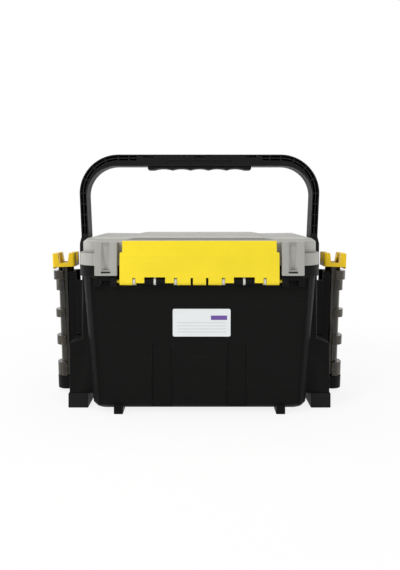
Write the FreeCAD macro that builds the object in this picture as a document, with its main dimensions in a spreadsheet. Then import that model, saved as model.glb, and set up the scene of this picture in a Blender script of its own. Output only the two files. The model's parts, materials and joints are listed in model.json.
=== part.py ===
import FreeCAD, Part
import math
import os
import Sketcher

# A seat-height tackle and tool box: black tub, grey lid, yellow latch flap, bail handle, inner tray
# and a rod stand on each side. Millimetres, +Z up, the front looks along -Y, z = 0 is the floor.
SIZES = {
    # Clearances and the overrun of every cut
    "overrun": 2.0,
    "seat_gap": 0.3,
    "bore_gap": 0.05,
    # Tub: drafted walls between a rounded hem and the rim band
    "floor_clearance": 9.0,
    "hem_rise": 5.5,
    "hem_inset": 5.0,
    "tub_height": 217.0,
    "tub_half_width": 195.0,
    "tub_half_depth": 133.0,
    "tub_corner": 32.0,
    "tub_draft": 8.0,
    "side_draft": 16.5,
    "wall": 3.5,
    "rim_height": 18.4,
    "rim_overhang": 4.6,
    "rim_stand": 6.0,
    "floor_foot_width": 15.0,
    "floor_foot_depth": 24.0,
    "floor_foot_place": 133.0,
    "floor_foot_reach": 4.0,
    "tray_ledge": 14.0,
    "tray_ledge_height": 6.0,
    # Front panel: edge ridges and two shallow channels
    "ridge_place": 181.0,
    "ridge_taper": 13.5,
    "ridge_width": 4.2,
    "ridge_proud": 1.8,
    "channel_inner": 44.0,
    "channel_width": 34.5,
    "channel_top": 112.0,
    "channel_slope": 7.0,
    "channel_depth": 2.2,
    # Corner pylons and the feet under them
    "pylon_reach": 25.0,
    "pylon_inset": 22.0,
    "pylon_shoulder": 7.0,
    "pylon_front": 98.0,
    "pylon_depth": 52.0,
    "pylon_top": 118.5,
    "pylon_fall": 9.0,
    "pylon_wall": 3.0,
    "column_reach": 4.5,
    "column_round": 4.0,
    "foot_height": 25.0,
    "foot_lip": 2.0,
    "foot_plug": 6.0,
    # Lid
    "lid_overhang": 2.0,
    "lid_side_overhang": 0.4,
    "lid_step_height": 20.1,
    "lid_step_inset": 5.0,
    "lid_upper_height": 17.5,
    "lid_crown_height": 5.0,
    "lid_crown_inset": 6.0,
    "lid_wall": 3.5,
    "panel_half_width": 105.0,
    "panel_ramp": 15.0,
    "panel_rise": 2.3,
    "rear_slope_depth": 36.0,
    "rear_slope_fall": 25.0,
    "latch_recess": 3.0,
    "block_width": 36.3,
    "block_drop": 15.7,
    "block_rise": 38.6,
    "groove_inset": 10.5,
    "groove_lift": 9.0,
    "groove_deep": 5.5,
    "groove_shallow": 2.0,
    "groove_low_floor": 2.0,
    "groove_high_floor": 11.0,
    "grip_slot_lift": 4.0,
    "grip_slot_height": 3.3,
    "grip_slot_depth": 6.0,
    # Lid hinges at the rear
    "hinge_radius": 5.5,
    "hinge_rise": 11.0,
    "hinge_place": 120.0,
    "hinge_length": 56.0,
    "hinge_middle": 20.0,
    "hinge_pin_radius": 2.0,
    # Latch flap and its hinge line
    "latch_proud": 5.5,
    "latch_barrel": 6.2,
    "latch_drop": 6.5,
    "flap_half_width": 128.5,
    "flap_rise": 65.5,
    "flap_thick": 3.5,
    "flap_lean": 2.5,
    "flap_bend_rise": 40.0,
    "flap_shoulder_rise": 47.0,
    "flap_shoulder_inset": 4.0,
    "flap_hook_height": 4.0,
    "latch_side_gap": 4.2,
    "latch_rod_radius": 2.0,
    "latch_rod_length": 110.0,
    "flap_pin_radius": 2.75,
    "flap_pin_length": 12.0,
    "fin_width": 3.6,
    "fin_nose": 5.9,
    "fin_slot_width": 4.8,
    "fin_inner": 38.6,
    "fin_pitch": 33.4,
    "lug_slot_place": 12.4,
    "lug_slot_width": 3.9,
    "tooth_width": 13.5,
    "tooth_cut": 4.0,
    "notch_width": 33.8,
    "notch_rise": 7.2,
    "knuckle_radius": 5.9,
    "knuckle_gap": 0.7,
    "strip_thick": 1.8,
    "strip_height": 13.0,
    "strip_lift": 8.0,
    # Ledge, ears and brackets under the lid's front blocks
    "ledge_height": 5.3,
    "ledge_reach": 8.0,
    "ear_width": 10.8,
    "ear_drop": 9.0,
    "ear_reach": 6.0,
    "bracket_width": 11.0,
    # Bail handle
    "pivot_drop": 8.9,
    "boss_radius": 8.0,
    "boss_reach": 3.9,
    "hub_pin_radius": 4.5,
    "hub_pin_length": 12.0,
    "hub_disc_radius": 11.0,
    "hub_disc_thick": 2.0,
    "hub_journal_radius": 8.0,
    "hub_journal_length": 10.0,
    "handle_half_depth": 19.0,
    "handle_rise": 200.5,
    "bar_height": 21.0,
    "leg_width": 13.1,
    "leg_flare": 3.0,
    "leg_waist_rise": 50.0,
    "leg_flare_rise": 12.0,
    "leg_spread": 3.5,
    "handle_corner": 71.0,
    "flange": 2.0,
    "mid_flange": 1.6,
    "handle_web": 3.0,
    "pocket_start_rise": 55.0,
    "pocket_end_place": 115.0,
    "rib_pitch": 19.6,
    "rib_width": 1.6,
    "top_slot_place": 84.0,
    "top_slot_width": 20.0,
    "top_slot_height": 3.4,
    "top_slot_drop": 2.6,
    "top_slot_depth": 4.0,
    "plaque_half_width": 60.0,
    "plaque_lift": 4.0,
    "plaque_height": 7.0,
    "plaque_depth": 1.0,
    "grip_half_length": 95.0,
    "grip_end": 10.7,
    "grip_drop": 6.4,
    "grip_scallop": 2.6,
    "grip_tongue_height": 6.0,
    "grip_tongue_half_depth": 8.0,
    "grip_tongue_inset": 10.0,
    # Label on the front panel
    "label_width": 94.5,
    "label_height": 45.5,
    "label_offset": 3.5,
    "label_lift": 141.5,
    "label_thick": 0.4,
    # Inner tray and its dividers
    "tray_drop": 36.0,
    "tray_height": 42.0,
    "tray_gap": 8.0,
    "tray_corner": 12.0,
    "tray_wall": 2.4,
    "tray_notch_half_width": 30.0,
    "tray_notch_depth": 14.0,
    "divider_thick": 2.0,
    "divider_drop": 4.0,
    "divider_groove": 1.2,
    # Rod stands
    "stand_out": 45.0,
    "stand_floor": 8.0,
    "stand_lean": 2.2,
    "tube_radius": 14.2,
    "tube_wall": 1.7,
    "tube_length": 218.5,
    "cup_radius": 21.8,
    "cup_height": 22.0,
    "cup_floor": 8.0,
    "ring_reach": 7.3,
    "ring_gap": 1.1,
    "collar_reach": 5.3,
    "collar_low_height": 18.5,
    "collar_high_reach": 9.1,
    "collar_high_height": 16.6,
    "collar_gap": 1.5,
    "collar_drop": 10.9,
    "crown_half": 20.8,
    "crown_corner": 5.0,
    "crown_height": 24.6,
    "crown_seat": 4.0,
    "crown_tab": 3.2,
    "crown_tab_drop": 3.6,
    "notch_mouth": 20.5,
    "notch_floor": 15.0,
    "notch_depth": 17.6,
    "inner_notch": 14.0,
    "channel_plate": 2.7,
    "channel_half_depth": 22.0,
    "channel_flange_reach": 8.9,
    "channel_lip": 4.3,
    "channel_start": 26.0,
    "channel_head_gap": 13.0,
    "tube_seat": 0.3,
    "arm_half_depth": 18.0,
    "arm_height": 19.0,
    "arm_level": 142.6,
    "tongue_length": 26.0,
    "tongue_thick": 4.0,
    "tongue_out": 4.5,
    "socket_reach": 10.5,
    "socket_half_depth": 24.0,
    "socket_height": 42.0,
    "socket_lip_gap": 0.6,
    "guide_thick": 3.0,
    "guide_gap": 1.0,
    "guide_front_drop": 29.5,
    "guide_rear_drop": 47.5,
    "screw_radius": 1.9,
    "screw_head_radius": 4.0,
    "screw_head_height": 2.2,
}

# Places along the rod tube where its outer rings start, and their heights, as shares of its length
RING_START_SHARES = (0.0, 0.277, 0.525)
RING_HEIGHT_SHARES = (0.119, 0.082, 0.071)
# Screw places along the bracket channel, and divider places across the tray, as shares
SCREW_PLACE_SHARES = (0.18, 0.87)
DIVIDER_SHARES = (-0.6, -0.2, 0.2, 0.6)
# Finger scallops of the grip and ribs round each corner of the handle, as counts
GRIP_SCALLOPS = 5
CORNER_RIBS = 3
LEG_RIBS = 4
BAR_RIBS = 2


class Size:
    """A length or angle that holds both its value and the sheet expression that gives it."""

    def __init__(self, text, value):
        self.text = text
        self.value = value

    def __add__(self, other):
        other = as_size(other)
        return Size(f"({self.text} + {other.text})", self.value + other.value)

    def __sub__(self, other):
        other = as_size(other)
        return Size(f"({self.text} - {other.text})", self.value - other.value)

    def __mul__(self, other):
        other = as_size(other)
        return Size(f"({self.text} * {other.text})", self.value * other.value)

    def __truediv__(self, other):
        other = as_size(other)
        return Size(f"({self.text} / {other.text})", self.value / other.value)

    def __neg__(self):
        return Size(f"(0 - {self.text})", -self.value)


def as_size(value):
    return value if isinstance(value, Size) else Size(repr(value), float(value))


def along(start, end, part, whole):
    """The point between two sizes that lies part of the whole way along."""
    text = f"({start.text} + ({end.text} - {start.text}) * {part.text} / {whole.text})"
    return Size(text, start.value + (end.value - start.value) * part.value / whole.value)


doc = FreeCAD.newDocument("TackleBox")
sheet = doc.addObject("Spreadsheet::Sheet", "Sizes")
for row, (alias, number) in enumerate(SIZES.items(), start=1):
    sheet.set(f"A{row}", alias)
    sheet.set(f"B{row}", str(number))
    sheet.setAlias(f"B{row}", alias)
doc.recompute()


class Sheet:
    """Gives each named size of the spreadsheet as an attribute."""

    def __getattr__(self, alias):
        return Size(f"Sizes.{alias}", float(sheet.get(alias)))


s = Sheet()
ZERO = as_size(0)
AXES = {"x": FreeCAD.Vector(1, 0, 0), "y": FreeCAD.Vector(0, 1, 0), "z": FreeCAD.Vector(0, 0, 1)}
# Each sketch plane: the axis that it faces and the turn that lays a sketch in it
PLANES = {
    "xy": ("z", FreeCAD.Rotation()),
    "xz": ("y", FreeCAD.Rotation(AXES["x"], 90)),
    "yz": ("x", FreeCAD.Rotation(FreeCAD.Vector(1, 1, 1), 120)),
}
sub_parts = []


def place(feature, **bases):
    """Bind the place of a feature along the named axes."""
    for axis, base in bases.items():
        feature.setExpression(f"Placement.Base.{axis}", as_size(base).text)


def block(name, x, y, z):
    """A box between the low and high sizes of each axis."""
    box = doc.addObject("Part::Box", name)
    for axis, side, (low, high) in (("x", "Length", x), ("y", "Width", y), ("z", "Height", z)):
        box.setExpression(side, (as_size(high) - low).text)
        place(box, **{axis: low})
    return box


def rod(name, axis, radius, span, across=(ZERO, ZERO)):
    """A round rod along an axis, from the low to the high end of its span."""
    turns = {"x": FreeCAD.Rotation(AXES["y"], 90), "y": FreeCAD.Rotation(AXES["x"], -90)}
    cylinder = doc.addObject("Part::Cylinder", name)
    cylinder.Placement.Rotation = turns.get(axis, FreeCAD.Rotation())
    cylinder.setExpression("Radius", as_size(radius).text)
    cylinder.setExpression("Height", (as_size(span[1]) - span[0]).text)
    others = [other for other in "xyz" if other != axis]
    place(cylinder, **{axis: span[0], others[0]: across[0], others[1]: across[1]})
    return cylinder


def taper(name, low, high, z):
    """A solid between a low and a high rectangle, each given as x and y spans."""
    wedge = doc.addObject("Part::Wedge", name)
    wedge.Placement.Rotation = FreeCAD.Rotation(AXES["x"], 90)
    (low_x, low_y), (high_x, high_y) = low, high
    spans = {
        "Xmin": low_x[0], "Xmax": low_x[1], "Zmin": -as_size(low_y[1]), "Zmax": -as_size(low_y[0]),
        "X2min": high_x[0], "X2max": high_x[1], "Z2min": -as_size(high_y[1]),
        "Z2max": -as_size(high_y[0]), "Ymin": z[0], "Ymax": z[1],
    }
    for side, size in spans.items():
        wedge.setExpression(side, as_size(size).text)
    return wedge


def outline(name, plane, points, level=ZERO):
    """A closed sketch, run anticlockwise; a third value in a point starts an arc of that radius.

    A positive radius swells outwards and a negative one bites inwards.
    """
    axis, turn = PLANES[plane]
    sketch = doc.addObject("Sketcher::SketchObject", name)
    sketch.Placement.Rotation = turn
    place(sketch, **{axis: level})
    points = [tuple(as_size(size) for size in point) for point in points]
    ends = []
    for index, point in enumerate(points):
        start = FreeCAD.Vector(point[0].value, point[1].value, 0)
        after = points[(index + 1) % len(points)]
        end = FreeCAD.Vector(after[0].value, after[1].value, 0)
        if len(point) == 2:
            sketch.addGeometry(Part.LineSegment(start, end))
            ends.append((1, 2))
            continue
        sketch.addGeometry(round_edge(start, end, point[2].value))
        ends.append((1, 2) if point[2].value > 0 else (2, 1))
    for index, point in enumerate(points):
        after = (index + 1) % len(points)
        sketch.addConstraint(Sketcher.Constraint("Coincident", index, ends[index][1], after, ends[after][0]))
        corner = (-1, 1, index, ends[index][0])
        bind_corner(sketch, f"across_{index}", "DistanceX", corner, point[0])
        bind_corner(sketch, f"up_{index}", "DistanceY", corner, point[1])
        if len(point) == 3:
            radius = point[2] if point[2].value > 0 else -point[2]
            bind_corner(sketch, f"round_{index}", "Radius", (index,), radius)
    return sketch


def round_edge(start, end, radius):
    """The shorter arc between two points; a positive radius has its centre on the left."""
    chord = end - start
    inward = FreeCAD.Vector(-chord.y, chord.x, 0).normalize()
    height = math.sqrt(max(radius * radius - chord.Length ** 2 / 4, 0))
    centre = (start + end) * 0.5 + inward * math.copysign(height, radius)
    first, last = (start - centre, end - centre) if radius > 0 else (end - centre, start - centre)
    circle = Part.Circle(centre, AXES["z"], abs(radius))
    return Part.ArcOfCircle(circle, math.atan2(first.y, first.x), math.atan2(last.y, last.x))


def bind_corner(sketch, label, kind, geometry, size):
    index = sketch.addConstraint(Sketcher.Constraint(kind, *geometry, size.value))
    sketch.renameConstraint(index, label)
    sketch.setExpression(f"Constraints.{label}", size.text)


def prism(name, plane, points, span):
    """An outline drawn out along the axis that its plane faces."""
    low, high = (as_size(end) for end in span)
    extrusion = doc.addObject("Part::Extrusion", name)
    extrusion.Base = outline(name + "_outline", plane, points, low)
    extrusion.DirMode = "Custom"
    extrusion.Dir = AXES[PLANES[plane][0]]
    extrusion.setExpression("LengthFwd", (high - low).text)
    extrusion.Solid = True
    return extrusion


def rounded(half_x, half_y, corner):
    """Points of a rectangle about the origin with round corners."""
    in_x = half_x - corner
    in_y = half_y - corner
    return [(-in_x, -half_y), (in_x, -half_y, corner), (half_x, -in_y), (half_x, in_y, corner),
            (in_x, half_y), (-in_x, half_y, corner), (-half_x, in_y), (-half_x, -in_y, corner)]


def loft(name, sections):
    """A solid through level outlines, each given as its points and its height."""
    body = doc.addObject("Part::Loft", name)
    body.Sections = [outline(f"{name}_section_{index}", "xy", points, level)
                     for index, (points, level) in enumerate(sections)]
    body.Solid = True
    body.Ruled = True
    return body


def fuse(name, shapes):
    union = doc.addObject("Part::MultiFuse", name)
    union.Shapes = shapes
    return union


def cut(name, base, tools):
    difference = doc.addObject("Part::Cut", name)
    difference.Base = base
    difference.Tool = tools[0] if len(tools) == 1 else fuse(name + "_tools", tools)
    return difference


def group(name, shapes):
    compound = doc.addObject("Part::Compound", name)
    compound.Links = shapes
    return compound


def mirrored(name, source, axis="x"):
    copy = doc.addObject("Part::Mirroring", name)
    copy.Source = source
    copy.Base = FreeCAD.Vector()
    copy.Normal = AXES[axis]
    return copy


def both_sides(shapes):
    """The shapes and their mirror images across the middle of the box."""
    return shapes + [mirrored(shape.Name + "_mirror", shape) for shape in shapes]


def all_corners(shapes):
    """The shapes and their mirror images, left and right, front and rear."""
    sides = both_sides(shapes)
    return sides + [mirrored(shape.Name + "_rear", shape, "y") for shape in sides]


def sub_part(label, feature):
    """Name a finished piece; its label names its file."""
    feature.Label = label
    sub_parts.append(feature)
    return feature


# Levels and reaches that several pieces share
tub_floor = s.floor_clearance
hem_top = tub_floor + s.hem_rise
tub_top = tub_floor + s.tub_height
rim_top = tub_top + s.rim_height
low_half_width = s.tub_half_width - s.side_draft
low_half_depth = s.tub_half_depth - s.tub_draft
rim_half_width = s.tub_half_width + s.rim_overhang
rim_half_depth = s.tub_half_depth + s.rim_stand
lid_half_width = rim_half_width + s.lid_side_overhang
lid_half_depth = rim_half_depth + s.lid_overhang
lid_bottom = rim_top + s.seat_gap
lid_step_top = rim_top + s.lid_step_height
lid_shoulder = lid_step_top + s.lid_upper_height
lid_top = lid_shoulder + s.lid_crown_height
front_face = -(lid_half_depth + s.latch_proud)
latch_y = front_face + s.latch_barrel
latch_z = tub_top - s.latch_drop
block_inner = s.flap_half_width + s.latch_side_gap
block_outer = block_inner + s.block_width
hinge_y = lid_half_depth
hinge_z = rim_top + s.hinge_rise
pivot_z = rim_top - s.pivot_drop
hinge_inner = s.hinge_place - s.hinge_length / 2
hinge_outer = s.hinge_place + s.hinge_length / 2
middle_inner = s.hinge_place - s.hinge_middle / 2
middle_outer = s.hinge_place + s.hinge_middle / 2
fin_places = [s.fin_inner, s.fin_inner + s.fin_pitch, s.fin_inner + s.fin_pitch * 2]
notch_inner = fin_places[1] - s.notch_width / 2
notch_outer = fin_places[1] + s.notch_width / 2
stand_x = s.tub_half_width + s.stand_out


def tub_front(level):
    """Where the drafted front wall of the tub stands at a level."""
    return -along(low_half_depth, s.tub_half_depth, level - hem_top, tub_top - hem_top)


def front_band(level, proud, sunk):
    """The depth span of a piece that stands proud of the front wall and is sunk into it."""
    return (tub_front(level) - proud, tub_front(level) + sunk)


def hinge_bore(name, radius, inner, outer):
    """A rod on the lid hinge axis between two places across the box."""
    return rod(name, "x", radius, (inner, outer), (hinge_y, hinge_z))


def latch_bore(name, radius, inner, outer):
    """A rod on the latch hinge axis between two places across the box."""
    return rod(name, "x", radius, (inner, outer), (latch_y, latch_z))


def body_walls():
    """The tub's outer walls, its rim band and what stands on them, before it is hollowed."""
    low_corner = s.tub_corner - s.hem_inset
    hem = rounded(low_half_width - s.hem_inset, low_half_depth - s.hem_inset, low_corner - s.hem_inset)
    low = rounded(low_half_width, low_half_depth, low_corner)
    high = rounded(s.tub_half_width, s.tub_half_depth, s.tub_corner)
    tub = loft("tub", [(hem, tub_floor), (low, hem_top), (high, tub_top)])
    rim_points = rounded(rim_half_width, rim_half_depth, s.tub_corner + s.rim_overhang)
    rim = prism("rim_band", "xy", rim_points, (tub_top, rim_top))
    low_place = s.ridge_place - s.ridge_taper
    sunk = s.wall * 2
    panel = taper("front_panel", ((-low_place, low_place), front_band(hem_top, ZERO, sunk)),
                  ((-s.ridge_place, s.ridge_place), front_band(tub_top, ZERO, sunk)), (hem_top, tub_top))
    ridge = loft("panel_ridge", [(ridge_points(low_place, hem_top), hem_top),
                                 (ridge_points(s.ridge_place, tub_top), tub_top)])
    pylon_outer = s.tub_half_width + s.pylon_reach
    pylon_inner = s.tub_half_width - s.pylon_inset
    pylon_low_top = s.pylon_top - s.pylon_fall
    pylon_span = (-s.pylon_front, s.pylon_depth - s.pylon_front)
    pylon_points = [(pylon_inner, s.foot_height), (pylon_outer, s.foot_height),
                    (pylon_outer, pylon_low_top), (s.tub_half_width, s.pylon_top),
                    (pylon_inner, s.pylon_top)]
    pylon = prism("pylon", "xz", pylon_points, pylon_span)
    column_outer = s.tub_half_width + s.column_reach
    round_start = (column_outer - s.column_round, -s.pylon_front, s.column_round)
    column_points = [(pylon_inner, -s.pylon_front), round_start,
                     (column_outer, s.column_round - s.pylon_front), (column_outer, pylon_span[1]),
                     (pylon_inner, pylon_span[1])]
    column = prism("corner_column", "xy", column_points, (pylon_low_top, tub_top))
    foot_x = (s.floor_foot_place - s.floor_foot_width / 2, s.floor_foot_place + s.floor_foot_width / 2)
    foot_y = front_band(hem_top, s.floor_foot_reach, s.floor_foot_depth)
    floor_foot = block("floor_foot", foot_x, foot_y, (ZERO, hem_top))
    ledge_outer = block_outer + s.lid_overhang
    ear_inner = block_inner + s.seat_gap
    ledge_y = front_band(tub_top, s.ledge_reach, s.wall)
    ear_low = latch_z - s.ear_drop
    ledge = block("front_ledge", (ear_inner, ledge_outer), ledge_y, (tub_top - s.ledge_height, tub_top))
    bracket_x = (ledge_outer - s.bracket_width, ledge_outer)
    bracket = block("ledge_bracket", bracket_x, ledge_y, (ear_low, tub_top))
    ear_y = (latch_y - s.ear_reach, tub_front(tub_top) + s.wall)
    ear = block("latch_ear", (ear_inner, ear_inner + s.ear_width), ear_y, (ear_low, tub_top))
    boss = rod("pivot_boss", "x", s.boss_radius,
               (s.tub_half_width - s.wall, rim_half_width + s.boss_reach), (ZERO, pivot_z))
    socket_top = s.stand_floor + s.arm_level - s.socket_lip_gap
    socket = block("stand_socket", (s.tub_half_width - s.side_draft, s.tub_half_width + s.socket_reach),
                   (-s.socket_half_depth, s.socket_half_depth), (socket_top - s.socket_height, socket_top))
    middle = hinge_bore("hinge_middle_knuckle", s.hinge_radius, middle_inner, middle_outer)
    middle_web = block("hinge_middle_web", (middle_inner, middle_outer),
                       (rim_half_depth - s.wall, hinge_y), (rim_top - s.hinge_radius, hinge_z))
    paired = [ridge, ledge, bracket, ear, boss, socket, middle, middle_web]
    paired += latch_knuckles() + stand_guides()
    corners = all_corners([pylon, column, floor_foot])
    return fuse("body_walls", [tub, rim, panel] + both_sides(paired) + corners)


def ridge_points(outer, level):
    """Plan of an edge ridge at a level: a long slope outwards from its crest and a short one inwards."""
    front = tub_front(level)
    back = front + s.wall * 2
    crest = outer - s.ridge_width
    inner = crest - s.ridge_proud
    return [(inner, back), (inner, front), (crest, front - s.ridge_proud), (outer, front), (outer, back)]


def stand_guides():
    """Two upright walls beside the right side socket, which lean with the stand between them."""
    guide_x = (-s.stand_out - s.side_draft,
               -s.tube_radius - s.tube_seat - s.channel_plate - s.channel_lip - s.guide_gap)
    low = s.arm_level - s.socket_height
    outer = s.socket_half_depth + s.guide_thick
    front_z = (low, pivot_z - s.stand_floor - s.guide_front_drop)
    rear_z = (low, pivot_z - s.stand_floor - s.guide_rear_drop)
    front = block("stand_guide_front", guide_x, (-outer, -s.socket_half_depth), front_z)
    rear = block("stand_guide_rear", guide_x, (s.socket_half_depth, outer), rear_z)
    return [leaned("stand_guides", group("guide_walls", [front, rear]))]


def latch_knuckles():
    """The tub's own knuckles on the latch hinge line, one on each side of the middle fin."""
    fin_gap = s.fin_slot_width / 2
    spans = [(notch_inner + s.knuckle_gap, fin_places[1] - fin_gap),
             (fin_places[1] + fin_gap, notch_outer - s.knuckle_gap)]
    shapes = []
    for index, span in enumerate(spans):
        shapes.append(latch_bore(f"latch_knuckle_{index}", s.knuckle_radius, *span))
        web_z = (latch_z - s.knuckle_radius, latch_z + s.knuckle_radius)
        web_y = (latch_y, tub_front(tub_top) + s.wall)
        shapes.append(block(f"latch_knuckle_web_{index}", span, web_y, web_z))
    return shapes


def body_shell():
    """Black moulded tub: one piece with its rim band, pylons, latch ears and hinge knuckles."""
    inner_corner = s.tub_corner - s.wall
    inside_width = low_half_width - s.wall
    inside_depth = low_half_depth - s.wall
    low_corner = inner_corner - s.hem_inset
    floor = rounded(inside_width - s.hem_inset, inside_depth - s.hem_inset, low_corner - s.hem_inset)
    low = rounded(inside_width, inside_depth, low_corner)
    high = rounded(s.tub_half_width - s.wall, s.tub_half_depth - s.wall, inner_corner)
    cavity = loft("cavity", [(floor, tub_floor + s.wall), (low, hem_top + s.wall),
                             (high, rim_top + s.overrun)])
    pylon_hollow_x = (s.tub_half_width - s.pylon_shoulder, s.tub_half_width + s.pylon_reach - s.pylon_wall)
    pylon_hollow = block("pylon_hollow", pylon_hollow_x,
                         (s.pylon_wall - s.pylon_front, s.pylon_depth - s.pylon_front - s.pylon_wall),
                         (s.foot_height - s.overrun, s.pylon_top - s.pylon_fall - s.pylon_wall))
    channel_x = (s.channel_inner, s.channel_inner + s.channel_width)
    channel_low = tub_floor - s.overrun
    slope_top = s.channel_top + s.channel_slope
    proud = s.overrun
    channel = taper("front_channel", (channel_x, front_band(channel_low, proud, s.channel_depth)),
                    (channel_x, front_band(s.channel_top, proud, s.channel_depth)),
                    (channel_low, s.channel_top))
    channel_end = taper("front_channel_end", (channel_x, front_band(s.channel_top, proud, s.channel_depth)),
                        (channel_x, front_band(slope_top, proud, ZERO)), (s.channel_top, slope_top))
    pin_bore = hinge_bore("hinge_pin_bore", s.hinge_pin_radius + s.bore_gap, hinge_inner, hinge_outer)
    rod_bore = latch_bore("latch_rod_bore", s.latch_rod_radius + s.bore_gap, notch_inner, notch_outer)
    ear_inner = block_inner + s.seat_gap
    ear_bore = latch_bore("latch_ear_bore", s.flap_pin_radius + s.bore_gap,
                          ear_inner - s.overrun, ear_inner + s.ear_width + s.overrun)
    hub_bore = rod("hub_bore", "x", s.hub_pin_radius + s.bore_gap,
                   (s.tub_half_width - s.wall - s.overrun, rim_half_width + s.boss_reach + s.overrun),
                   (ZERO, pivot_z))
    pocket = leaned("stand_pocket", tongue("tongue_room", s.seat_gap, s.overrun))
    paired = [channel, channel_end, pin_bore, rod_bore, ear_bore, hub_bore, pocket]
    hollowed = cut("hollow_body", body_walls(),
                   [cavity] + both_sides(paired) + all_corners([pylon_hollow]))
    ledge_top = tub_top - s.tray_drop
    ledge_inner = s.tub_half_width - s.wall - s.tray_ledge
    ledge_half_depth = s.tub_half_depth - s.wall - s.tub_corner
    ledge = block("tray_ledge", (ledge_inner, s.tub_half_width - s.wall),
                  (-ledge_half_depth, ledge_half_depth), (ledge_top - s.tray_ledge_height, ledge_top))
    return sub_part("body_shell", fuse("body", [hollowed] + both_sides([ledge])))


def corner_feet():
    """Four block feet whose plugs sit in the hollow pylons."""
    outer = s.tub_half_width + s.pylon_reach
    foot = block("foot_block", (s.tub_half_width - s.pylon_shoulder, outer + s.foot_lip),
                 (-s.pylon_front - s.foot_lip / 2, s.pylon_depth - s.pylon_front), (ZERO, s.foot_height))
    clear = s.pylon_wall + s.bore_gap
    plug = block("foot_plug", (s.tub_half_width - s.pylon_shoulder + s.bore_gap, outer - clear),
                 (clear - s.pylon_front, s.pylon_depth - s.pylon_front - clear),
                 (s.foot_height, s.foot_height + s.foot_plug))
    return sub_part("corner_feet", group("feet", all_corners([fuse("corner_foot", [foot, plug])])))


def front_label():
    """Thin sticker on the front panel, right of the middle by a little."""
    low = tub_floor + s.label_lift - s.label_height / 2
    high = low + s.label_height
    across = (s.label_offset - s.label_width / 2, s.label_offset + s.label_width / 2)
    sticker = taper("sticker", (across, front_band(low, s.label_thick, ZERO)),
                    (across, front_band(high, s.label_thick, ZERO)), (low, high))
    return sub_part("front_label", sticker)


def lid_shell():
    """Grey lid: two stepped tiers, a chamfered crown, a raised panel, front blocks and knuckles."""
    corner = s.tub_corner + s.rim_overhang + s.lid_overhang
    lower = prism("lid_lower_tier", "xy", rounded(lid_half_width, lid_half_depth, corner),
                  (lid_bottom, lid_step_top))
    upper_x = lid_half_width - s.lid_step_inset
    upper_y = lid_half_depth - s.lid_step_inset
    upper_corner = corner - s.lid_step_inset
    upper_points = rounded(upper_x, upper_y, upper_corner)
    crown_points = rounded(upper_x - s.lid_crown_inset, upper_y - s.lid_crown_inset,
                           upper_corner - s.lid_crown_inset)
    upper = prism("lid_upper_tier", "xy", upper_points, (lid_step_top, lid_shoulder))
    crown = loft("lid_crown", [(upper_points, lid_shoulder), (crown_points, lid_top)])
    flat_y = upper_y - s.lid_crown_inset
    panel_foot = s.panel_half_width + s.panel_ramp
    panel_points = [(-panel_foot, lid_top), (panel_foot, lid_top),
                    (s.panel_half_width, lid_top + s.panel_rise),
                    (-s.panel_half_width, lid_top + s.panel_rise)]
    panel = prism("lid_panel", "xz", panel_points, (-flat_y, flat_y))
    block_x = (block_inner, block_outer)
    block_low = rim_top - s.block_drop
    block_high = rim_top + s.block_rise
    skirt_y = (front_face, -(rim_half_depth + s.seat_gap))
    skirt = block("block_skirt", block_x, skirt_y, (block_low, lid_bottom))
    head = block("block_head", block_x, (front_face, s.lid_wall - upper_y), (lid_bottom, block_high))
    outer_knuckle = hinge_bore("lid_knuckle_outer", s.hinge_radius, middle_outer + s.seat_gap, hinge_outer)
    inner_knuckle = hinge_bore("lid_knuckle_inner", s.hinge_radius, hinge_inner, middle_inner - s.seat_gap)
    outside = fuse("lid_outside", [lower, upper, crown, panel]
                   + both_sides([skirt, head, outer_knuckle, inner_knuckle]))
    return sub_part("lid_shell", cut("lid", outside, lid_cuts(upper_x, upper_y, upper_corner)))


def rear_slope(name, drop):
    """The wedge above the lid's sloping rear, lowered by a drop."""
    run = s.rear_slope_depth
    fall = s.rear_slope_fall
    above = s.panel_rise + s.overrun
    start_y = lid_half_depth - run - above * run / fall
    end_y = lid_half_depth + s.overrun
    high = lid_top + above - drop
    low = lid_top - fall - s.overrun * fall / run - drop
    reach = lid_half_width + s.overrun
    return prism(name, "yz", [(start_y, high), (end_y, low), (end_y, high)], (-reach, reach))


def thumb_groove(across, depth, floor):
    """Plan of a thumb groove: sloping sides down to a flat floor, open to the front."""
    low, high = across
    middle = (low + high) / 2
    ahead = front_face - s.overrun
    bottom = front_face + depth
    return [(low, ahead), (high, ahead), (high, front_face), (middle + floor / 2, bottom),
            (middle - floor / 2, bottom), (low, front_face)]


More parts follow.
